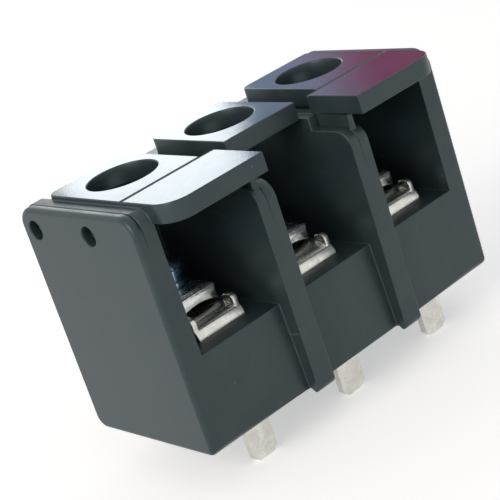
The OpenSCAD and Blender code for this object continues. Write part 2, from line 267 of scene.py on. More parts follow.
def edit(obj):
    only(obj)
    bpy.ops.object.mode_set(mode="EDIT")
    bpy.ops.mesh.select_all(action="DESELECT")


def within(place, limits):
    """Whether a point lies inside the given limits; each limit is a place or a pair of places."""
    for value, limit in zip(place, limits):
        if limit is None:
            continue
        low, high = (min(limit), max(limit)) if isinstance(limit, (tuple, list)) else (limit, limit)
        if not low - TOUCH <= value <= high + TOUCH:
            return False
    return True


def pick(obj, kind, x=None, y=None, z=None, facing=None, along=None, add=False):
    """In edit mode, selects the faces, edges or corners that lie wholly inside the limits."""
    if not add:
        bpy.ops.mesh.select_all(action="DESELECT")
    bpy.ops.mesh.select_mode(type={"faces": "FACE", "edges": "EDGE", "corners": "VERT"}[kind])
    bm = bmesh.from_edit_mesh(obj.data)
    bm.normal_update()
    found = 0
    for item in {"faces": bm.faces, "edges": bm.edges, "corners": bm.verts}[kind]:
        corners = [item] if kind == "corners" else item.verts
        if not all(within(corner.co, (x, y, z)) for corner in corners):
            continue
        if facing is not None and item.normal.dot(facing) < 0.99:
            continue
        if along is not None:
            way = (item.verts[1].co - item.verts[0].co).normalized()
            if abs(way.dot(AXES[along])) < 0.99:
                continue
        item.select_set(True)
        found += 1
    bmesh.update_edit_mesh(obj.data)
    if not found:
        raise RuntimeError(f"{obj.name}: no {kind} at x {x}, y {y}, z {z}")
    return found


def slice_at(axis, *places):
    """Cuts the whole mesh along planes across one axis."""
    for place in places:
        bpy.ops.mesh.select_all(action="SELECT")
        bpy.ops.mesh.bisect(plane_co=AXES[axis] * place, plane_no=AXES[axis])


def pull(x=0.0, y=0.0, z=0.0):
    """Extrudes the selected faces."""
    bpy.ops.mesh.extrude_region_move(TRANSFORM_OT_translate={"value": (x, y, z)})


def round_off(radius, segments):
    """Rounds the selected edges."""
    bpy.ops.mesh.bevel(offset=radius, segments=segments, affect="EDGES", clamp_overlap=True)


def combine(obj, other, operation):
    """Adds another solid to obj, or takes it away, and removes it."""
    only(obj)
    modifier = obj.modifiers.new("Combine", "BOOLEAN")
    modifier.operation = operation
    modifier.solver = "EXACT"
    modifier.object = other
    bpy.ops.object.modifier_apply(modifier=modifier.name)
    bpy.data.objects.remove(other)
    return obj


def add_solid(obj, other):
    return combine(obj, other, "UNION")


def cut_out(obj, other):
    return combine(obj, other, "DIFFERENCE")


def keep_inside(obj, other):
    return combine(obj, other, "INTERSECT")


def tidy(obj):
    """Merges doubled corners and clears the edges that lie inside flat faces."""
    edit(obj)
    bpy.ops.mesh.select_all(action="SELECT")
    bpy.ops.mesh.remove_doubles(threshold=TOUCH / 4)
    bpy.ops.mesh.dissolve_limited(angle_limit=math.radians(0.4))
    bpy.ops.mesh.select_all(action="SELECT")
    bpy.ops.mesh.normals_make_consistent(inside=False)
    object_mode()


def close_ends():
    """In edit mode, merges doubled corners and fills the open ends of a swept shape."""
    bpy.ops.mesh.select_all(action="SELECT")
    bpy.ops.mesh.remove_doubles(threshold=TOUCH / 4)
    bpy.ops.mesh.select_mode(type="EDGE")
    bpy.ops.mesh.select_non_manifold(extend=False)
    bpy.ops.mesh.fill()
    bpy.ops.mesh.select_all(action="SELECT")
    bpy.ops.mesh.normals_make_consistent(inside=False)


def soften(obj, width, segments=2, angle=32.0, edge_material=0, joints=(), open_above=0.0):
    """Rounds every sharp edge a little, and shades the flat faces flat.

    Edges at the joints, given as places along the strip, stay sharp below the height open_above.
    """
    edit(obj)
    bpy.ops.mesh.select_mode(type="EDGE")
    bpy.ops.mesh.edges_select_sharp(sharpness=math.radians(angle))
    bm = bmesh.from_edit_mesh(obj.data)
    for line in bm.edges:
        for place in joints:
            if line.select and all(abs(end.co.x - place) < TOUCH for end in line.verts):
                line.select_set(min(end.co.z for end in line.verts) > open_above - TOUCH)
    bmesh.update_edit_mesh(obj.data)
    bpy.ops.transform.edge_bevelweight(value=1.0)
    only(obj)
    modifier = obj.modifiers.new("Edges", "BEVEL")
    modifier.limit_method = "WEIGHT"
    modifier.width = width
    modifier.segments = segments
    modifier.use_clamp_overlap = False
    modifier.miter_outer = "MITER_ARC"
    # The edge rounding takes the given material; on the plastic that is the rubbed edge with its painted
    # highlight
    modifier.material = edge_material
    bpy.ops.object.modifier_apply(modifier=modifier.name)
    bpy.ops.object.shade_smooth_by_angle(angle=math.radians(50))
    modifier = obj.modifiers.new("Shading", "WEIGHTED_NORMAL")
    modifier.keep_sharp = True
    modifier.weight = 100
    bpy.ops.object.modifier_apply(modifier=modifier.name)


def copied(obj, name, shift=0.0, turn=0.0, centre=None):
    """A copy of obj with its own mesh, moved along the strip and turned about its own axis."""
    only(obj)
    bpy.ops.object.duplicate(linked=False)
    new = bpy.context.active_object
    new.name = name
    new.data.name = name
    edit(new)
    bpy.ops.mesh.select_all(action="SELECT")
    if turn:
        bpy.ops.transform.rotate(value=-turn, orient_axis="Z", center_override=centre)
    if shift:
        bpy.ops.transform.translate(value=(shift, 0, 0))
    object_mode()
    return new


def mirrored(obj, name):
    """The left-right mirror image of obj, with its own mesh."""
    only(obj)
    bpy.ops.object.duplicate(linked=False)
    new = bpy.context.active_object
    new.name = name
    new.data.name = name
    edit(new)
    bpy.ops.mesh.select_all(action="SELECT")
    bpy.ops.transform.resize(value=(-1, 1, 1), center_override=(0, 0, 0))
    bpy.ops.mesh.normals_make_consistent(inside=False)
    object_mode()
    return new


def settle(obj, body, node, slot, *materials):
    """Gives a finished piece its materials and its place in the frame."""
    obj.data.materials.clear()
    for material in materials:
        obj.data.materials.append(bpy.data.materials[material])
    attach(obj, body)
    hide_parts(node)


# ---- materials ----


class Finish:
    """One material and the nodes it is made from."""

    def __init__(self, name):
        self.material = bpy.data.materials.new(name)
        self.material.use_nodes = True
        self.tree = self.material.node_tree
        self.tree.nodes.clear()
        self.output = self.add("ShaderNodeOutputMaterial")
        self.shader = self.add("ShaderNodeBsdfPrincipled")
        self.link(self.shader.outputs["BSDF"], self.output.inputs["Surface"])
        self.place = self.add("ShaderNodeTexCoord").outputs["Object"]

    def add(self, kind, **settings):
        node = self.tree.nodes.new(kind)
        for key, value in settings.items():
            setattr(node, key, value)
        return node

    def link(self, source, target):
        self.tree.links.new(source, target)

    def stretched(self, scale, turn=(0, 0, 0)):
        """Object coordinates, stretched and turned."""
        node = self.add("ShaderNodeMapping")
        node.inputs["Scale"].default_value = scale
        node.inputs["Rotation"].default_value = turn
        self.link(self.place, node.inputs["Vector"])
        return node.outputs["Vector"]

    def noise(self, scale, detail=3.0, roughness=0.5, distortion=0.0, place=None):
        node = self.add("ShaderNodeTexNoise")
        node.inputs["Scale"].default_value = scale
        node.inputs["Detail"].default_value = detail
        node.inputs["Roughness"].default_value = roughness
        node.inputs["Distortion"].default_value = distortion
        self.link(place or self.place, node.inputs["Vector"])
        return node.outputs["Fac"]

    def cells(self, scale, feature="F1", place=None, output="Distance"):
        node = self.add("ShaderNodeTexVoronoi", feature=feature)
        node.inputs["Scale"].default_value = scale
        self.link(place or self.place, node.inputs["Vector"])
        return node.outputs[output]

    def ramp(self, value, low, high, start=0.0, end=1.0):
        """value from low to high becomes start to end, and stays in that range."""
        node = self.add("ShaderNodeMapRange")
        for socket, number in zip(node.inputs[1:5], (low, high, start, end)):
            socket.default_value = number
        self.link(value, node.inputs["Value"])
        return node.outputs["Result"]

    def math(self, operation, a, b):
        node = self.add("ShaderNodeMath", operation=operation)
        for socket, value in zip(node.inputs, (a, b)):
            if isinstance(value, (int, float)):
                socket.default_value = value
            else:
                self.link(value, socket)
        return node.outputs[0]

    def mix(self, factor, a, b):
        """Colour a where factor is 0 and b where it is 1; either is a colour or a socket."""
        node = self.add("ShaderNodeMix", data_type="RGBA")
        self.link(factor, node.inputs["Factor"])
        for socket, value in ((node.inputs[6], a), (node.inputs[7], b)):
            if isinstance(value, bpy.types.NodeSocket):
                self.link(value, socket)
            else:
                socket.default_value = (*value, 1.0)
        return node.outputs[2]

    def bump(self, height, strength, distance, after=None):
        node = self.add("ShaderNodeBump")
        node.inputs["Strength"].default_value = strength
        node.inputs["Distance"].default_value = distance
        self.link(height, node.inputs["Height"])
        if after is not None:
            self.link(after, node.inputs["Normal"])
        return node.outputs["Normal"]

    def axis(self, name):
        """One coordinate of the place, in metres."""
        node = self.add("ShaderNodeSeparateXYZ")
        self.link(self.place, node.inputs[0])
        return node.outputs[name]


def scratch_lines(finish, scale, width, turn, thin):
    """Short hair scratches, 1 on a scratch and 0 elsewhere."""
    place = finish.stretched((1, 0.35, 1), turn)
    line = finish.ramp(finish.cells(scale, "DISTANCE_TO_EDGE", place), 0.0, width, 1.0, 0.0)
    where = finish.ramp(finish.noise(scale * 0.8, 2.0), thin, thin + 0.05)
    return finish.math("MULTIPLY", line, where)


def moulded_plastic(name, colours):
    """Black moulded plastic: flow haze, fine grain, hair scratches and specks of dust."""
    finish = Finish(name)
    dark, pale, satin = tuple(colours.plastic), tuple(colours.plastic_pale), colours.satin
    haze = finish.ramp(finish.noise(170, 6.0, 0.62, 0.4), 0.36, 0.72)
    mottle = finish.ramp(finish.noise(2100, 3.0, 0.6), 0.3, 0.8)
    cloud = finish.math("MULTIPLY", haze, finish.ramp(mottle, 0, 1, 0.55, 1.0))
    colour = finish.mix(cloud, dark, pale)
    scratches = finish.math(
        "ADD",
        scratch_lines(finish, 330, 0.012, (0.4, 0.9, 0.5), 0.65),
        scratch_lines(finish, 520, 0.014, (1.3, 0.2, 2.1), 0.69),
    )
    scratches = finish.math("MULTIPLY", scratches, colours.scuffs)
    colour = finish.mix(scratches, colour, (0.20, 0.21, 0.21))
    specks = finish.ramp(finish.cells(900), 0.05, 0.09, 1.0, 0.0)
    specks = finish.math("MULTIPLY", specks, finish.ramp(finish.noise(400, 1.0), 0.58, 0.66, 0.0, 0.35))
    colour = finish.mix(specks, colour, (0.26, 0.26, 0.25))
    finish.link(colour, finish.shader.inputs["Base Color"])
    hazy = finish.ramp(haze, 0, 1, satin - 0.05, satin + 0.07)
    rough = finish.math("ADD", hazy, finish.ramp(mottle, 0, 1, -0.03, 0.04))
    polish = finish.ramp(finish.axis("Z"), 18.40 * mm, 18.52 * mm, 1.0, 0.42)
    rough = finish.math("MULTIPLY", rough, polish)
    rough = finish.math("ADD", rough, finish.math("MULTIPLY", scratches, 0.2))
    finish.link(rough, finish.shader.inputs["Roughness"])
    finish.shader.inputs["IOR"].default_value = 1.5
    finish.shader.inputs["Specular Tint"].default_value = (0.82, 0.97, 1.0, 1.0)
    grain = finish.bump(finish.noise(5200, 2.0), 0.10, 0.02 * mm)
    waves = finish.bump(finish.noise(420, 2.0), 0.12, 0.05 * mm, grain)
    finish.link(finish.bump(scratches, 0.25, -0.02 * mm, waves), finish.shader.inputs["Normal"])
    return finish.material


def rubbed_and_highlight_edge(name, colours):
    """The plastic's edges: rubbed wear with a painted highlight, paler in places and a little uneven."""
    finish = Finish(name)
    dark, rubbed = tuple(colours.plastic), tuple(colours.rubbed)
    # The paler colour along every rounded edge is partly rubbed wear and partly a painted highlight
    rubbed_and_highlight_mask = finish.ramp(finish.noise(700, 5.0, 0.65), 0.34, 0.66)
    finish.link(finish.mix(rubbed_and_highlight_mask, dark, rubbed), finish.shader.inputs["Base Color"])
    finish.link(finish.ramp(finish.noise(1600, 3.0), 0.3, 0.7, 0.30, 0.50), finish.shader.inputs["Roughness"])
    finish.shader.inputs["IOR"].default_value = 1.5
    finish.link(finish.bump(finish.noise(1500, 4.0), 0.35, 0.04 * mm), finish.shader.inputs["Normal"])
    return finish.material


def plated_metal(name, colour, tone, rough, streaks, pits):
    """Plated metal: cloudy tone, fine rolling streaks and stamping pits."""
    finish = Finish(name)
    cloud = finish.ramp(finish.noise(900, 5.0, 0.6, 0.6), 0.34, 0.68)
    line = finish.noise(1500, 4.0, 0.6, 0.0, finish.stretched((0.18, 1.6, 1.6)))
    finish.link(finish.mix(cloud, tone, colour), finish.shader.inputs["Base Color"])
    finish.shader.inputs["Metallic"].default_value = 1.0
    blur = finish.ramp(cloud, 0, 1, rough + 0.10, rough)
    blur = finish.math("ADD", blur, finish.ramp(line, 0.35, 0.7, 0.0, 0.12))
    finish.link(blur, finish.shader.inputs["Roughness"])
    normal = finish.bump(line, streaks, 0.03 * mm)
    pit = finish.ramp(finish.cells(1700), 0.0, 0.45)
    finish.link(finish.bump(pit, pits, 0.04 * mm, normal), finish.shader.inputs["Normal"])
    return finish.material


# ---- operators, one for each group of pieces ----


def sizes():
    scene = bpy.context.scene
    return scene.strip_housing, scene.strip_metal, scene.strip_finishes, scene.strip_stage


class STRIP_OT_finishes(bpy.types.Operator):
    """Make the plastic and metal materials"""

    bl_idname = "strip.finishes"
    bl_label = "Make Finishes"

    def execute(self, context):
        colours = sizes()[2]
        moulded_plastic("moulded_black", colours)
        rubbed_and_highlight_edge("rubbed_and_highlight_edge", colours)
        tin, nickel, zinc = tuple(colours.tin), tuple(colours.nickel), tuple(colours.zinc)
        plated_metal("bright_tin", tin, (0.62, 0.61, 0.56), 0.18, 0.22, 0.06)
        plated_metal("bright_nickel", nickel, (0.50, 0.52, 0.50), 0.15, 0.28, 0.14)
        plated_metal("blue_zinc", zinc, (0.16, 0.30, 0.42), 0.10, 0.08, 0.04)
        return {"FINISHED"}


class STRIP_OT_end_plates(bpy.types.Operator):
    """Model the two end plates with their rounded rims and round holes"""

    bl_idname = "strip.end_plates"
    bl_label = "Add End Plates"

    def execute(self, context):
        housing = sizes()[0]
        low, high = plate_low, plate_high - RIGHT * housing.peg
        plate = block("end_plate_left", low, high)
        edit(plate)
        for y, z, radius, segments in (
            (low.y, housing.wall_height, housing.end_radius, 12),
            (high.y, housing.wall_height, housing.end_radius, 12),
            (high.y, 0.0, housing.back_radius, 10),
            (low.y, 0.0, housing.foot_radius, 6),
        ):
            pick(plate, "edges", y=y, z=z, along="x")
            round_off(radius, segments)
        pick(plate, "faces", x=low.x, facing=LEFT)
        bpy.ops.mesh.region_to_loop()
        round_off(housing.soft_rim, 5)
        object_mode()
        mount = {m["name"]: m for m in frame["record"]["mounts"]}
        for name in ("end_hole_rear", "end_hole_front"):
            place = Vector(mount[name]["pos_m"])
            start, end = (low.x - OVERCUT, place.y, place.z), (high.x + OVERCUT, place.y, place.z)
            cut_out(plate, rod("hole", housing.end_hole / 2, start, end, 40))
        tidy(plate)
        right = mirrored(plate, "end_plate_right")
        joints = (high.x, -high.x)
        for piece, node in ((plate, "left_end_plate"), (right, "right_end_plate")):
            soften(piece, housing.edge, 2, 40.0, 1, joints, housing.barrier_height)
            settle(piece, "strip", node, "black_plastic", "moulded_black", "rubbed_and_highlight_edge")
        return {"FINISHED"}


def barrier_walls(shell, housing, centre, walls):
    """Raises the back wall, the end wall and the barriers from a floor block."""
    front, back = shell_low.y + BARRIER_REACH, shell_high.y
    half = HALF_PITCH
    inner_back = back - housing.back_wall
    roof_low = shell_high.z - housing.roof
    score = back - housing.tab_setback - housing.tab_length
    step = score - housing.barrier_step
    faces = {"wall": housing.wall, "barrier": housing.barrier / 2}
    spans = []
    for side, kind in walls:
        outer, inner = centre + side * half, centre + side * (half - faces[kind])
        spans.append((kind, side, min(outer, inner), max(outer, inner)))
    edit(shell)
    slice_at("x", *[inner for kind, side, low, high in spans for inner in ((high,) if side < 0 else (low,))])
    slice_at("y", inner_back, step)
    z = housing.floor_height
    pick(shell, "faces", z=z, y=(inner_back, back), facing=UP)
    for kind, side, low, high in spans:
        pick(shell, "faces", x=(low, high), z=z, facing=UP, add=True)
    pull(z=housing.barrier_height - z)
    z = housing.barrier_height
    pick(shell, "faces", z=z, y=(inner_back, back), facing=UP)
    for kind, side, low, high in spans:
        reach = (step, back) if kind == "barrier" else (front, back)
        pick(shell, "faces", x=(low, high), y=reach, z=z, facing=UP, add=True)
    pull(z=roof_low - z)
    for kind, side, low, high in spans:
        if kind == "wall":
            pick(shell, "faces", x=(low, high), z=roof_low, facing=UP)
            pull(z=housing.wall_height - roof_low)
            for y in (front, back):
                pick(shell, "edges", x=(low, high), y=y, z=housing.wall_height, along="x")
                round_off(housing.end_radius, 12)
        else:
            pick(shell, "faces", x=(low, high), y=front, facing=FRONT)
            pull(y=shell_low.y - front)
            pick(shell, "edges", x=(low, high), y=shell_low.y, z=housing.barrier_height, along="x")
            round_off(housing.barrier_radius, 16)
            pick(shell, "edges", x=(low, high), y=shell_low.y, z=0, along="x")
            round_off(housing.foot_radius, 6)
    pick(shell, "edges", y=back, z=0, along="x")
    round_off(housing.back_radius, 10)
    pick(shell, "edges", y=front, z=0, along="x")
    round_off(housing.foot_radius, 6)
    object_mode()


def roof_tab(housing, centre, left, flap):
    """A roof tab, with its flap and score line where the pole has one."""
    back, top = shell_high.y - housing.tab_setback, shell_high.z
    low = top - housing.roof
    score = back - housing.tab_length
    right = centre + housing.tab_width / 2
    tab = block("tab", (left, score, low), (right, back, top))
    edit(tab)
    for x in (left, right):
        pick(tab, "edges", x=x, y=back, along="z")
        round_off(housing.tab_radius, 8)
    if flap:
        pick(tab, "faces", y=score, facing=FRONT)
        pull(y=-2 * housing.score)
        pick(tab, "faces", y=score - 2 * housing.score, facing=FRONT)
        pull(y=2 * housing.score - housing.flap_length)
        flap_front = score - housing.flap_length
        pick(tab, "faces", x=right, y=(score, flap_front), facing=RIGHT)
        pull(x=centre + HALF_PITCH - right)
        slice_at("y", score - housing.score)
        pick(tab, "corners", y=score - housing.score, z=top)
        bpy.ops.transform.translate(value=(0, 0, -housing.score))
        pick(tab, "edges", x=left, y=flap_front, along="z")
        round_off(housing.flap_radius, 14)
    object_mode()
    return tab


def pole_shell(name, housing, metal, centre, walls, flap):
    """One moulded pole housing."""
    half = HALF_PITCH
    front, back = shell_low.y + BARRIER_REACH, shell_high.y
    shell = block(name, (centre - half, front, 0), (centre + half, back, housing.floor_height))
    barrier_walls(shell, housing, centre, walls)
    roof_low = shell_high.z - housing.roof
    left = centre - half + housing.wall - 0.2 * mm if flap else centre - housing.tab_width / 2
    add_solid(shell, roof_tab(housing, centre, left, flap))
    if flap:
        score = back - housing.tab_setback - housing.tab_length
        web_low = (
            centre + half - housing.web,
            shell_low.y + housing.foot_radius,
            housing.barrier_height - housing.foot_radius,
        )
        add_solid(shell, block("web", web_low, (centre + half, score, roof_low + housing.roof / 2)))
    screw_y = (screw_low.y + screw_high.y) / 2
    start, end = (centre, screw_y, roof_low - OVERCUT), (centre, screw_y, shell_high.z + OVERCUT)
    cut_out(shell, rod("driver_hole", housing.driver_hole / 2, start, end, 96))
    slot_y = front + housing.front_wall
    wide, thick = terminal_high.x + SLOT_GAP, metal.terminal + 2 * SLOT_GAP
    narrow, thin = metal.pin_width / 2 + SLOT_GAP, metal.pin + 2 * SLOT_GAP
    above = housing.floor_height + OVERCUT
    cut_out(shell, block("slot", (centre - wide, slot_y, SHOULDER), (centre + wide, slot_y + thick, above)))
    start, end = (centre - narrow, slot_y, -OVERCUT), (centre + narrow, slot_y + thin, SHOULDER + OVERCUT)
    cut_out(shell, block("pin_slot", start, end))
    recess = half - housing.rim
    recess_front = slot_y + thick + housing.rim
    recess_end = (centre + recess, back - housing.back_wall, housing.floor_height - housing.floor)
    cut_out(shell, block("recess", (centre - recess, recess_front, -OVERCUT), recess_end))
    collar_hole = metal.collar / 2 + COLLAR_GAP
    cut_out(shell, rod("collar_hole", collar_hole, (centre, screw_y, 0), (centre, screw_y, above), 64))
    if flap:
        mount = {m["name"]: m for m in frame["record"]["mounts"]}
        hole_depth = 0.6 * mm
        for hole in ("end_hole_rear", "end_hole_front"):
            place = Vector(mount[hole]["pos_m"])
            outer = centre - half
            start, end = (outer - OVERCUT, place.y, place.z), (outer + hole_depth, place.y, place.z)
            cut_out(shell, rod("hole", housing.end_hole / 2, start, end, 40))
    tidy(shell)
    return shell


class STRIP_OT_pole_housings(bpy.types.Operator):
    """Model the three moulded pole housings with their roof tabs, flaps and barriers"""

    bl_idname = "strip.pole_housings"
    bl_label = "Add Pole Housings"

    def execute(self, context):
        housing, metal = sizes()[:2]
        pitch = 2 * HALF_PITCH
        left = pole_shell("pole_shell_1", housing, metal, -pitch, ((-1, "wall"), (1, "barrier")), True)
        middle = pole_shell("pole_shell_2", housing, metal, 0.0, ((-1, "barrier"), (1, "barrier")), False)
        right = mirrored(left, "pole_shell_3")
        joints = [pitch * step for step in (-1.5, -0.5, 0.5, 1.5)]
        for i, shell in ((1, left), (2, middle), (3, right)):
            soften(shell, housing.edge, 2, 32.0, 1, joints, housing.barrier_height - housing.barrier_radius)
            settle(shell, "strip", f"pole_housing_{i}", "black_plastic", "moulded_black", "rubbed_and_highlight_edge")
        return {"FINISHED"}


class STRIP_OT_terminals(bpy.types.Operator):
    """Model the bent terminals with their wire ears, tapped collars and board pins"""

    bl_idname = "strip.terminals"
    bl_label = "Add Terminals"

    def execute(self, context):
        housing, metal = sizes()[:2]
        low, high = terminal_low, terminal_high
        top = housing.floor_height + metal.terminal
        side = high.x
        hub = Vector((0, low.y + metal.bend, top - metal.bend))
        bar = block("terminal_bar_2", (-side, hub.y, housing.floor_height), (side, high.y, top))
        edit(bar)
        pick(bar, "faces", y=hub.y, facing=FRONT)
        bpy.ops.mesh.spin(steps=10, angle=math.radians(-90), center=hub, axis=(1, 0, 0), use_auto_merge=True)
        turned = bmesh.from_edit_mesh(bar.data)
        if min(vertex.co.y for vertex in turned.verts) > hub.y - metal.bend / 2:
            raise RuntimeError("the terminal's bend turned the wrong way")
        pick(bar, "faces", z=hub.z, facing=DOWN)
        pull(z=SHOULDER - hub.z)
        pick(bar, "faces", z=SHOULDER, facing=DOWN)
        pin = metal.pin_width / 2
        for place, way in (((pin, 0, 0), RIGHT), ((-pin, 0, 0), RIGHT), ((0, low.y + metal.pin, 0), BACK)):
            bpy.ops.mesh.bisect(plane_co=place, plane_no=way)
            pick(bar, "faces", z=SHOULDER, facing=DOWN)
        tip = metal.pin * 0.75
        pick(bar, "faces", x=(-pin, pin), y=(low.y, low.y + metal.pin), z=SHOULDER, facing=DOWN)
        pull(z=low.z + tip - SHOULDER)
        pull(z=-tip)
        bpy.ops.transform.resize(value=((pin - tip) / pin, 1, 1), center_override=(0, low.y, low.z))
        object_mode()
        front = hub.y - metal.ear_lead
        back, ear_top = front + metal.ear_length, top + metal.ear_height
        for inner, outer in ((metal.ear - side, -side), (side - metal.ear, side)):
            ear = block("ear", (inner, front, top - metal.terminal / 2), (outer, back, ear_top))
            edit(ear)
            for y in (front, back):
                pick(ear, "edges", y=y, z=ear_top, along="x")
                round_off(metal.ear_height * 0.75, 6)
            add_solid(bar, ear)
        screw_y = (screw_low.y + screw_high.y) / 2
        collar_low = housing.floor_height - 1.1 * mm
        start, end = (0, screw_y, collar_low), (0, screw_y, top - metal.terminal / 2)
        add_solid(bar, rod("collar", metal.collar / 2, start, end, 64))
        start, end = (0, screw_y, housing.floor_height - 3 * mm), (0, screw_y, top + OVERCUT)
        cut_out(bar, rod("tapped", metal.thread / 2 + THREAD_GAP, start, end, 48))
        tidy(bar)
        soften(bar, 0.06 * mm, 3, 40.0)
        spread(bar, "terminal_bar", "strip", "terminal", "tinned_brass", "bright_tin")
        return {"FINISHED"}


def spread(piece, name, body, node, slot, material, turns=(0, 0, 0)):
    """Copies the middle pole's piece to the outer poles and settles all three."""
    pitch = 2 * HALF_PITCH
    centre = (0, (screw_low.y + screw_high.y) / 2, 0)
    pieces = {2: piece}
    for i in (1, 3):
        pieces[i] = copied(piece, f"{name}_{i}", (i - 2) * pitch, turns[i - 1], centre)
    for i, obj in sorted(pieces.items()):
        ridden = body if body == "strip" else f"{body}_{i}"
        settle(obj, ridden, f"{node}_{i}", slot, material)


class STRIP_OT_clamp_plates(bpy.types.Operator):
    """Model the rectangular clamp plates with their turned-down edges"""

    bl_idname = "strip.clamp_plates"
    bl_label = "Add Clamp Plates"

    def execute(self, context):
        metal = sizes()[1]
        low, high = clamp_low, clamp_high
        seat = 0.1 * mm
        hub = high.z + seat - metal.clamp_bow
        plate = block("clamp_sheet_2", low, high)
        edit(plate)
        for y in (low.y, high.y):
            pick(plate, "edges", y=y, z=high.z, along="x")
            round_off(metal.clamp_bend, 8)
        outline = block("outline", low + DOWN * OVERCUT, high + UP * OVERCUT)
        edit(outline)
        for x in (low.x, high.x):
            for y in (low.y, high.y):
                pick(outline, "edges", x=x, y=y, along="z")
                round_off(metal.clamp_corner, 6)
        keep_inside(plate, outline)
        for name, depth, inset, operation in (
            ("bow", -seat, -OVERCUT, keep_inside),
            ("edge_arch", metal.clamp_edge, -OVERCUT, cut_out),
            ("hollow", metal.clamp, metal.clamp, cut_out),
        ):
            radius = metal.clamp_bow - seat - depth
            operation(plate, rod(name, radius, (0, low.y + inset, hub), (0, high.y - inset, hub), 192))
        screw_y = (screw_low.y + screw_high.y) / 2
        start, end = (0, screw_y, low.z - OVERCUT), (0, screw_y, high.z + OVERCUT)
        cut_out(plate, rod("clearance", metal.thread / 2 + CLAMP_GAP, start, end, 48))
        tidy(plate)
        soften(plate, 0.08 * mm, 2, 36.0)
        spread(plate, "clamp_sheet", "clamp", "clamp_plate", "nickel_sheet", "bright_nickel")
        return {"FINISHED"}


class STRIP_OT_lock_washers(bpy.types.Operator):
    """Model the split spring washers"""

    bl_idname = "strip.lock_washers"
    bl_label = "Add Lock Washers"

    def execute(self, context):
        metal = sizes()[1]
        low, high = washer_low, washer_high
        centre = (low + high) / 2
        inner, outer = metal.thread / 2 + THREAD_GAP, (high.x - low.x) / 2
        start, end = (centre.x + inner, centre.y - WAFER, low.z), (centre.x + outer, centre.y, high.z)
        ring = block("split_ring_2", start, end)
        edit(ring)
        pick(ring, "faces", y=centre.y - WAFER, facing=FRONT)
        bpy.ops.mesh.delete(type="FACE")
        pick(ring, "faces", y=centre.y, facing=BACK)
        gap = metal.split / ((inner + outer) / 2)
        turn = -(2 * math.pi - gap)
        bpy.ops.mesh.spin(steps=56, angle=turn, center=centre, axis=(0, 0, 1), use_auto_merge=True)
        close_ends()
        bpy.ops.transform.rotate(value=-math.radians(215), orient_axis="Z", center_override=centre)
        object_mode()
        soften(ring, 0.06 * mm, 2, 40.0)
        turns = (math.radians(30), 0, math.radians(-50))
        spread(ring, "split_ring", "clamp", "lock_washer", "zinc_steel", "blue_zinc", turns)
        return {"FINISHED"}


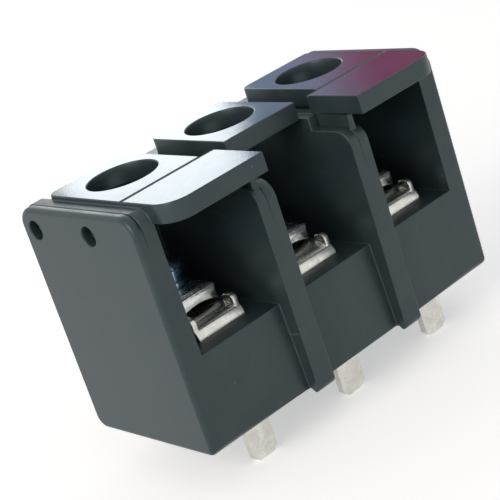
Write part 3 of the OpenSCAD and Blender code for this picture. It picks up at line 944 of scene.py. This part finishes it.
class STRIP_OT_screws(bpy.types.Operator):
    """Model the cross-recess pan head screws with their threads"""

    bl_idname = "strip.screws"
    bl_label = "Add Screws"

    def execute(self, context):
        metal = sizes()[1]
        low, high = screw_low, screw_high
        centre = (low + high) / 2
        radius = (high.x - low.x) / 2
        under, top = high.z - metal.head, high.z
        middle = top - metal.dome
        shoulder = middle + math.sqrt(metal.dome**2 - radius**2)
        head = rod("pan_screw_2", radius, (centre.x, centre.y, under), (centre.x, centre.y, shoulder), 72)
        edit(head)
        pick(head, "faces", z=shoulder, facing=UP)
        steps = 10
        start = math.asin(radius / metal.dome)
        last = radius
        for step in range(1, steps):
            angle = start * (1 - step / steps)
            ring, height = metal.dome * math.sin(angle), middle + metal.dome * math.cos(angle)
            before = middle + metal.dome * math.cos(start * (1 - (step - 1) / steps))
            pull(z=height - before)
            hub = (centre.x, centre.y, height)
            bpy.ops.transform.resize(value=(ring / last, ring / last, 1), center_override=hub)
            last = ring
        object_mode()
        half, floor = metal.recess_width / 2, top - metal.recess
        cutter = block("recess", (-half, centre.y - half, floor), (half, centre.y + half, top + 0.3 * mm))
        edit(cutter)
        arm = (metal.recess_span - metal.recess_width) / 2
        core = {"x": (-half, half), "y": (centre.y - half, centre.y + half)}
        for way in (LEFT, RIGHT, FRONT, BACK):
            pick(cutter, "faces", facing=way, **core)
            pull(*(way * arm))
        reach = metal.recess_span / 2
        pick(cutter, "corners", x=(-reach, reach), y=(centre.y - reach, centre.y + reach), z=floor)
        bpy.ops.transform.resize(value=(0.45, 0.45, 1), center_override=centre)
        object_mode()
        cut_out(head, cutter)
        root = metal.thread / 2 - 0.27 * mm
        point = 0.4 * mm
        start, end = (centre.x, centre.y, low.z + point), (centre.x, centre.y, under + 0.1 * mm)
        shank = rod("shank", root, start, end, 48)
        edit(shank)
        pick(shank, "faces", z=low.z + point, facing=DOWN)
        pull(z=-point)
        bpy.ops.transform.resize(value=(0.8, 0.8, 1), center_override=(centre.x, centre.y, low.z))
        object_mode()
        add_solid(head, shank)
        tidy(head)
        soften(head, 0.05 * mm, 2, 40.0)
        ridge = self.thread(metal, centre, root, low.z + 0.25 * mm, under - 0.2 * mm)
        only(head)
        ridge.select_set(True)
        bpy.ops.object.join()
        turns = (math.radians(25), 0, math.radians(-40))
        spread(head, "pan_screw", "screw", "screw", "zinc_steel", "blue_zinc", turns)
        return {"FINISHED"}

    def thread(self, metal, centre, root, bottom, top):
        """The thread's ridge: a triangle swept round the shank."""
        lead = metal.lead
        crest = metal.thread / 2 - 0.01 * mm
        start, end = (centre.x + root, centre.y - WAFER, 0), (centre.x + root, centre.y, 0)
        ridge = rod("ridge", lead * 0.44, start, end, 3)
        edit(ridge)
        bm = bmesh.from_edit_mesh(ridge.data)
        keep = sorted(bm.verts, key=lambda vertex: vertex.co.y)[:3]
        corners = sorted(keep, key=lambda vertex: vertex.co.x)
        places = ((root - 0.02 * mm, -0.44 * lead), (root - 0.02 * mm, 0.44 * lead), (crest, 0.0))
        for corner, (out, up) in zip(corners, places):
            corner.co = Vector((centre.x + out, centre.y, bottom + up))
        for vertex in bm.verts:
            vertex.select_set(vertex not in keep)
        bm.select_flush(True)
        bmesh.update_edit_mesh(ridge.data)
        bpy.ops.mesh.delete(type="VERT")
        object_mode()
        only(ridge)
        bpy.context.scene.cursor.location = (centre.x, centre.y, 0)
        bpy.ops.object.origin_set(type="ORIGIN_CURSOR")
        modifier = ridge.modifiers.new("Thread", "SCREW")
        modifier.axis = "Z"
        modifier.iterations = int((top - bottom) / lead)
        modifier.screw_offset = lead
        modifier.steps = modifier.render_steps = 36
        bpy.ops.object.modifier_apply(modifier=modifier.name)
        bpy.ops.object.transform_apply(location=True, rotation=True, scale=True)
        edit(ridge)
        close_ends()
        object_mode()
        return ridge


class STRIP_OT_stage(bpy.types.Operator):
    """Add the pale floor, the soft lamps and the camera"""

    bl_idname = "strip.stage"
    bl_label = "Add Stage"

    def execute(self, context):
        stage = sizes()[3]
        self.floor(stage)
        self.sky(stage)
        self.lamp("key_softbox", (-0.34, -0.10, 0.20), (0.24, 0.24), stage.key, (1.0, 0.94, 0.87))
        self.lamp("window_softbox", (0.269, 0.420, 0.165), (0.075, 0.16), stage.window, (0.88, 0.94, 1.0))
        self.flag()
        self.camera(stage)
        context.scene.view_settings.view_transform = "Standard"
        return {"FINISHED"}

    def floor(self, stage):
        clear_selection()
        bpy.ops.mesh.primitive_plane_add(size=4, location=(0, 0, cad_bounds[0].z - 0.02 * mm))
        floor = named("floor")
        finish = Finish("pale_floor")
        tone = finish.ramp(finish.noise(12, 3.0), 0.3, 0.7)
        colour = tuple(stage.floor)
        shade = tuple(part * 0.985 for part in colour)
        finish.link(finish.mix(tone, colour, shade), finish.shader.inputs["Base Color"])
        finish.shader.inputs["Roughness"].default_value = 0.75
        seen = self.seen(finish.tree)
        finish.shader.inputs["Emission Color"].default_value = (1, 1, 1, 1)
        finish.link(finish.math("MULTIPLY", seen, 0.46), finish.shader.inputs["Emission Strength"])
        floor.data.materials.append(finish.material)

    def seen(self, tree):
        """1 for rays from the camera, from gloss and through glass, and 0 for light."""
        path = tree.nodes.new("ShaderNodeLightPath")
        total = path.outputs["Is Camera Ray"]
        for name in ("Is Glossy Ray", "Is Transmission Ray"):
            node = tree.nodes.new("ShaderNodeMath")
            node.operation = "MAXIMUM"
            tree.links.new(total, node.inputs[0])
            tree.links.new(path.outputs[name], node.inputs[1])
            total = node.outputs[0]
        return total

    def sky(self, stage):
        world = bpy.data.worlds.new("even_sky")
        bpy.context.scene.world = world
        world.use_nodes = True
        tree = world.node_tree
        background = tree.nodes["Background"]
        background.inputs["Color"].default_value = (1, 1, 1, 1)
        span = tree.nodes.new("ShaderNodeMapRange")
        span.inputs["To Min"].default_value = stage.sky
        span.inputs["To Max"].default_value = 1.0
        tree.links.new(self.seen(tree), span.inputs["Value"])
        tree.links.new(span.outputs["Result"], background.inputs["Strength"])

    def flag(self):
        """A tinted card beside the strip, mirrored in the right-hand roofs."""
        clear_selection()
        place = (0.352, 0.372, 0.16)
        facing = (math.radians(90), 0, math.radians(-42))
        bpy.ops.mesh.primitive_plane_add(size=1, location=place, rotation=facing)
        bpy.context.active_object.scale = (0.122, 0.24, 1)
        flag = named("flag")
        finish = Finish("flag_card")
        across = finish.math("SUBTRACT", finish.axis("X"), place[0])
        steel = finish.ramp(across, -0.038, -0.024)
        wine = finish.ramp(across, -0.022, 0.0)
        colour = finish.mix(steel, (0.14, 0.24, 0.40), (0.33, 0.38, 0.58))
        colour = finish.mix(wine, colour, (0.34, 0.05, 0.17))
        finish.link(colour, finish.shader.inputs["Base Color"])
        finish.link(colour, finish.shader.inputs["Emission Color"])
        finish.shader.inputs["Emission Strength"].default_value = 1.0
        flag.data.materials.append(finish.material)
        flag.visible_camera = flag.visible_diffuse = flag.visible_shadow = False

    def lamp(self, name, place, size, power, colour):
        clear_selection()
        bpy.ops.object.light_add(type="AREA", location=place)
        lamp = bpy.context.active_object
        lamp.name = name
        lamp.data.shape = "RECTANGLE"
        lamp.data.size, lamp.data.size_y = size
        lamp.data.energy = power
        lamp.data.color = colour
        aim = Vector((0, 0, 0.012)) - Vector(place)
        lamp.rotation_euler = aim.to_track_quat("-Z", "Y").to_euler()

    def camera(self, stage):
        clear_selection()
        bpy.ops.object.camera_add(location=(-0.067118, -0.091227, 0.049247))
        camera = bpy.context.active_object
        camera.name = "view"
        axes = Matrix((
            (0.707019, 0.445953, -0.548862),
            (-0.640769, 0.075573, -0.764005),
            (-0.299231, 0.891860, 0.339185),
        ))
        camera.rotation_euler = axes.to_euler()
        camera.data.sensor_width = 36
        camera.data.lens = stage.lens
        camera.data.clip_start, camera.data.clip_end = 0.005, 10
        bpy.context.scene.camera = camera


class STRIP_PT_panel(bpy.types.Panel):
    """Sizes, finishes and build steps of the terminal strip"""

    bl_idname = "STRIP_PT_panel"
    bl_label = "Terminal Strip"
    bl_space_type = "VIEW_3D"
    bl_region_type = "UI"
    bl_category = "Terminal Strip"

    def draw(self, context):
        layout = self.layout
        for step in STEPS:
            layout.operator(step.bl_idname, text=step.bl_label)
        for title, group in (
            ("Housing", context.scene.strip_housing),
            ("Metal", context.scene.strip_metal),
            ("Finishes", context.scene.strip_finishes),
            ("Stage", context.scene.strip_stage),
        ):
            column = layout.box().column(align=True)
            column.label(text=title)
            for name in group.__annotations__:
                column.prop(group, name)


STEPS = (
    STRIP_OT_finishes,
    STRIP_OT_end_plates,
    STRIP_OT_pole_housings,
    STRIP_OT_terminals,
    STRIP_OT_clamp_plates,
    STRIP_OT_lock_washers,
    STRIP_OT_screws,
    STRIP_OT_stage,
)
GROUPS = {
    "strip_housing": StripHousingSizes,
    "strip_metal": StripMetalSizes,
    "strip_finishes": StripFinishes,
    "strip_stage": StripStage,
}


def register():
    for cls in (*GROUPS.values(), *STEPS, STRIP_PT_panel):
        bpy.utils.register_class(cls)
    for name, group in GROUPS.items():
        setattr(bpy.types.Scene, name, bpy.props.PointerProperty(type=group))


def unregister():
    for name in GROUPS:
        delattr(bpy.types.Scene, name)
    for cls in reversed((*GROUPS.values(), *STEPS, STRIP_PT_panel)):
        bpy.utils.unregister_class(cls)


def main():
    register()
    for step in STEPS:
        getattr(bpy.ops.strip, step.bl_idname.removeprefix("strip."))()


if __name__ == "__main__":
    main()
